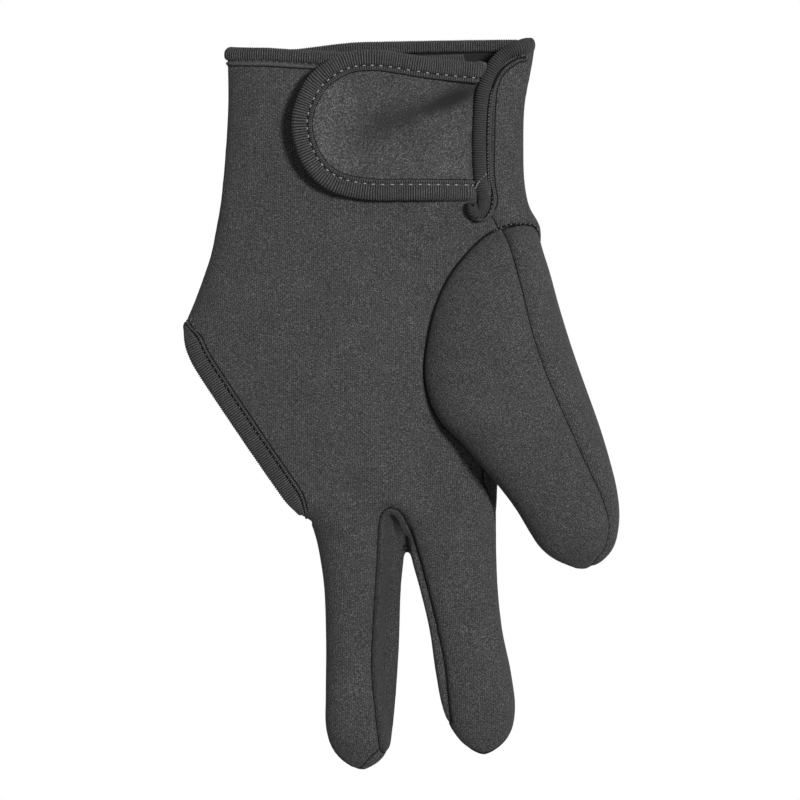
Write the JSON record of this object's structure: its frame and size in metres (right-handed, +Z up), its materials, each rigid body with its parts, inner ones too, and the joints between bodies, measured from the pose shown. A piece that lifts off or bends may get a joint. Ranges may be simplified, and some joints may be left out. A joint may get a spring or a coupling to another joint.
{
  "type": "thermal glove",
  "caption": "Soft heat-resistant glove that covers thumb, index and middle finger, with a bound side opening and a hook-and-loop wrist tab.",
  "frame": {"origin": "on the surface it lies on, under the middle of its outline", "axes": "+Y towards the cuff, +X towards the thumb, +Z up, out of the palm"},
  "size_m": [0.1444, 0.2403, 0.0309],
  "materials": {
    "neoprene_jersey": "charcoal heather knit face on foam",
    "binding_knit": "ribbed charcoal knit binding",
    "loop_face": "napped loop face",
    "hook_face": "moulded hooks, plain"
  },
  "bodies": {
    "root": {"palm_panel": "neoprene_jersey", "back_panel": "neoprene_jersey", "finger_fourchette": "neoprene_jersey", "thumb_front_panel": "neoprene_jersey", "thumb_back_panel": "neoprene_jersey", "cuff_binding": "binding_knit", "slit_binding": "binding_knit", "finger_opening_binding": "binding_knit", "closure_tab": "loop_face", "tab_binding": "binding_knit", "hook_patch": "hook_face"}
  },
  "joints": []
}
